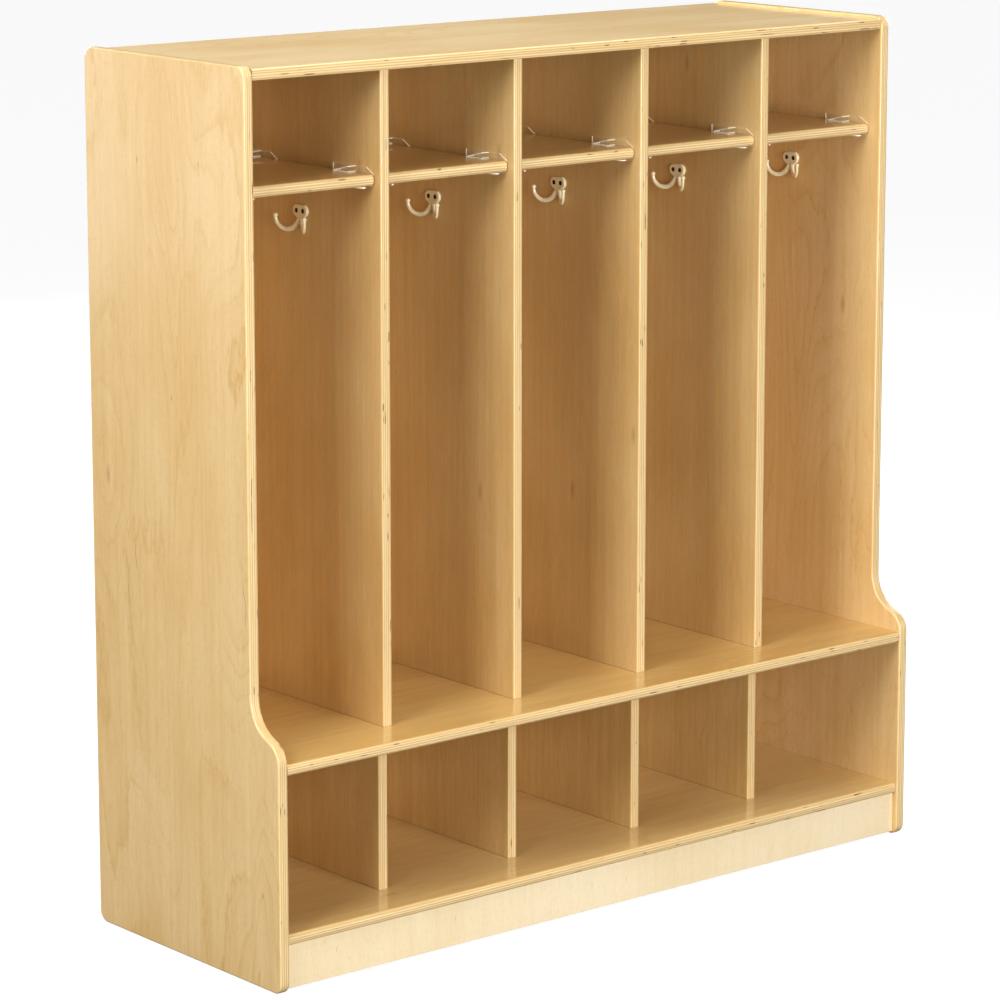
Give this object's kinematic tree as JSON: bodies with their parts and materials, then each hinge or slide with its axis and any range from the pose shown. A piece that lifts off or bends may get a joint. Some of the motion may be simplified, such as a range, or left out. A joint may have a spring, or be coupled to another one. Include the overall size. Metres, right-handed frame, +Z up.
{
  "type": "school coat locker",
  "caption": "Birch plywood coat locker: a row of open coat bays with a shelf above, a bench seat, boot cubbies under it and double coat hooks on the walls.",
  "frame": {"origin": "on the floor, under the middle of the locker", "axes": "+Z up, the open front faces -Y, +X to the right seen from the front"},
  "size_m": [1.2192, 0.4444, 1.2827],
  "materials": {
    "birch_ply": "clear satin lacquer on birch plywood, vertical grain on uprights and sideways grain on panels",
    "birch_back_ply": "clear satin lacquer on thin birch plywood",
    "hardwood_dowel": "bare fluted beech dowel",
    "ivory_casting": "semi-gloss ivory paint on a zinc casting",
    "clear_plastic": "clear moulded polycarbonate",
    "dark_screw_steel": "black oxide wood screws",
    "zinc_screw_steel": "yellow-zinc wood screws"
  },
  "bodies": {
    "case": {"back_panel": "birch_back_ply", "back_panel_screws": "zinc_screw_steel", "bench_panel": "birch_ply", "bench_panel_dowels": "hardwood_dowel", "bottom_panel": "birch_ply", "bottom_panel_dowels": "hardwood_dowel", "coat_hook_1_left": "ivory_casting", "coat_hook_1_right": "ivory_casting", "coat_hook_2_left": "ivory_casting", "coat_hook_2_right": "ivory_casting", "coat_hook_3_left": "ivory_casting", "coat_hook_3_right": "ivory_casting", "coat_hook_4_left": "ivory_casting", "coat_hook_4_right": "ivory_casting", "coat_hook_5_left": "ivory_casting", "coat_hook_5_right": "ivory_casting", "hook_screws": "dark_screw_steel", "kick_plate": "birch_ply", "kick_plate_dowels": "hardwood_dowel", "left_side_panel": "birch_ply", "lower_divider_1": "birch_ply", "lower_divider_2": "birch_ply", "lower_divider_3": "birch_ply", "lower_divider_4": "birch_ply", "lower_divider_dowels": "hardwood_dowel", "rear_base_rail": "birch_ply", "rear_base_rail_dowels": "hardwood_dowel", "right_side_panel": "birch_ply", "shelf_clips_1": "clear_plastic", "shelf_clips_2": "clear_plastic", "shelf_clips_3": "clear_plastic", "shelf_clips_4": "clear_plastic", "shelf_clips_5": "clear_plastic", "top_panel": "birch_ply", "top_panel_dowels": "hardwood_dowel", "upper_divider_1": "birch_ply", "upper_divider_2": "birch_ply", "upper_divider_3": "birch_ply", "upper_divider_4": "birch_ply", "upper_divider_dowels": "hardwood_dowel"},
    "loose_shelf_1": {"shelf_1": "birch_ply"},
    "loose_shelf_2": {"shelf_2": "birch_ply"},
    "loose_shelf_3": {"shelf_3": "birch_ply"},
    "loose_shelf_4": {"shelf_4": "birch_ply"},
    "loose_shelf_5": {"shelf_5": "birch_ply"}
  },
  "joints": [
    {"name": "shelf_1_slide", "type": "slide", "parent": "case", "child": "loose_shelf_1", "axis": [0, -1, 0], "range_m": [0, 0.26]},
    {"name": "shelf_2_slide", "type": "slide", "parent": "case", "child": "loose_shelf_2", "axis": [0, -1, 0], "range_m": [0, 0.26]},
    {"name": "shelf_3_slide", "type": "slide", "parent": "case", "child": "loose_shelf_3", "axis": [0, -1, 0], "range_m": [0, 0.26]},
    {"name": "shelf_4_slide", "type": "slide", "parent": "case", "child": "loose_shelf_4", "axis": [0, -1, 0], "range_m": [0, 0.26]},
    {"name": "shelf_5_slide", "type": "slide", "parent": "case", "child": "loose_shelf_5", "axis": [0, -1, 0], "range_m": [0, 0.26]}
  ]
}
